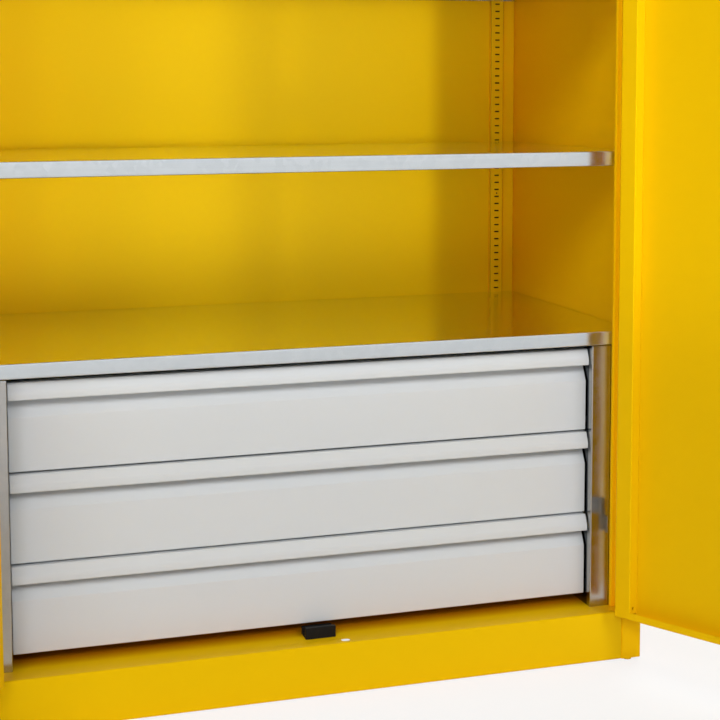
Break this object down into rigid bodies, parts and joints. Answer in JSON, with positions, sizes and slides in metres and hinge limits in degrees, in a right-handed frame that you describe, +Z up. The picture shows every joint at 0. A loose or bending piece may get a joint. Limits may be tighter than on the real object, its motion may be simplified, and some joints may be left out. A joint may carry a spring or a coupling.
{
  "type": "heavy-duty drawer cabinet",
  "caption": "Tall steel cupboard with two inset wing doors standing open, shelves on slotted strips, and a block of wide drawers with grip bars in its lower part.",
  "frame": {"origin": "on the floor, under the middle of the bounding box of the cabinet with both doors open as pictured", "axes": "+Z up, -Y out of the open front, +X to the right seen from the front"},
  "size_m": [1.7102, 1.1112, 1.95],
  "materials": {
    "yellow_paint": "semi-gloss powder coat with fine texture",
    "galvanised_steel": "bright galvanised sheet with soft mirror",
    "grey_paint": "satin light grey powder coat",
    "black_plastic": "moulded, satin",
    "zinc_steel": "zinc plated",
    "chrome": "polished"
  },
  "bodies": {
    "carcass": {"back_panel": "yellow_paint", "bottom_pan": "yellow_paint", "door_stop": "black_plastic", "drawer_1_runner_left": "zinc_steel", "drawer_1_runner_right": "zinc_steel", "drawer_2_runner_left": "zinc_steel", "drawer_2_runner_right": "zinc_steel", "drawer_3_runner_left": "zinc_steel", "drawer_3_runner_right": "zinc_steel", "drawer_cheek_left": "galvanised_steel", "drawer_cheek_right": "galvanised_steel", "drawer_cover_shelf": "galvanised_steel", "frame_hinge_1_left": "zinc_steel", "frame_hinge_1_right": "zinc_steel", "frame_hinge_2_left": "zinc_steel", "frame_hinge_2_right": "zinc_steel", "frame_hinge_3_left": "zinc_steel", "frame_hinge_3_right": "zinc_steel", "front_glide_left": "yellow_paint", "front_glide_right": "yellow_paint", "front_slotted_strip_left": "yellow_paint", "front_slotted_strip_right": "yellow_paint", "rear_glide_left": "yellow_paint", "rear_glide_right": "yellow_paint", "rear_slotted_strip_left": "yellow_paint", "rear_slotted_strip_right": "yellow_paint", "roof": "yellow_paint", "shelf_1": "galvanised_steel", "shelf_1_bearer_left": "galvanised_steel", "shelf_1_bearer_right": "galvanised_steel", "shelf_2": "galvanised_steel", "shelf_2_bearer_left": "galvanised_steel", "shelf_2_bearer_right": "galvanised_steel", "shelf_3": "galvanised_steel", "shelf_3_bearer_left": "galvanised_steel", "shelf_3_bearer_right": "galvanised_steel", "side_wall_left": "yellow_paint", "side_wall_right": "yellow_paint"},
    "door_left": {"door_hinge_1_left": "zinc_steel", "door_hinge_2_left": "zinc_steel", "door_hinge_3_left": "zinc_steel", "door_left": "yellow_paint", "meeting_strip": "yellow_paint"},
    "door_right": {"door_hinge_1_right": "zinc_steel", "door_hinge_2_right": "zinc_steel", "door_hinge_3_right": "zinc_steel", "door_right": "yellow_paint", "lock_plate": "black_plastic"},
    "drawer_1": {"drawer_1_box": "galvanised_steel", "drawer_1_front": "grey_paint"},
    "drawer_2": {"drawer_2_box": "galvanised_steel", "drawer_2_front": "grey_paint"},
    "drawer_3": {"drawer_3_box": "galvanised_steel", "drawer_3_front": "grey_paint"},
    "lock_turning": {"lock_cam": "zinc_steel", "lock_cylinder": "chrome", "lock_handle": "chrome"},
    "lock_rod_up": {"lock_rod_upper": "zinc_steel"},
    "lock_rod_down": {"lock_rod_lower": "zinc_steel"}
  },
  "joints": [
    {"name": "door_left_hinge", "type": "hinge", "parent": "carcass", "child": "door_left", "pos_m": [-0.56708, -0.05044, 1], "axis": [0, 0, -1], "range_deg": [-121.7, 58.3]},
    {"name": "door_right_hinge", "type": "hinge", "parent": "carcass", "child": "door_right", "pos_m": [0.55332, -0.05044, 1], "axis": [0, 0, 1], "range_deg": [-121.7, 58.3]},
    {"name": "drawer_1_slide", "type": "slide", "parent": "carcass", "child": "drawer_1", "axis": [0, -1, 0], "range_m": [0, 0.4]},
    {"name": "drawer_2_slide", "type": "slide", "parent": "carcass", "child": "drawer_2", "axis": [0, -1, 0], "range_m": [0, 0.4]},
    {"name": "drawer_3_slide", "type": "slide", "parent": "carcass", "child": "drawer_3", "axis": [0, -1, 0], "range_m": [0, 0.4]},
    {"name": "lock_turn", "type": "hinge", "parent": "door_right", "child": "lock_turning", "pos_m": [0.81239, -0.48133, 1.02], "axis": [0.8508, 0.5255, 0], "range_deg": [0, 90]},
    {"name": "rod_up_slide", "type": "slide", "parent": "door_right", "child": "lock_rod_up", "axis": [0, 0, 1], "range_m": [0, 0.0227]},
    {"name": "rod_down_slide", "type": "slide", "parent": "door_right", "child": "lock_rod_down", "axis": [0, 0, -1], "range_m": [0, 0.0227]}
  ],
  "couplings": [
    {"joint": "rod_up_slide", "follows": "lock_turn", "m_per_rad": 0.014405},
    {"joint": "rod_down_slide", "follows": "lock_turn", "m_per_rad": 0.014405}
  ]
}
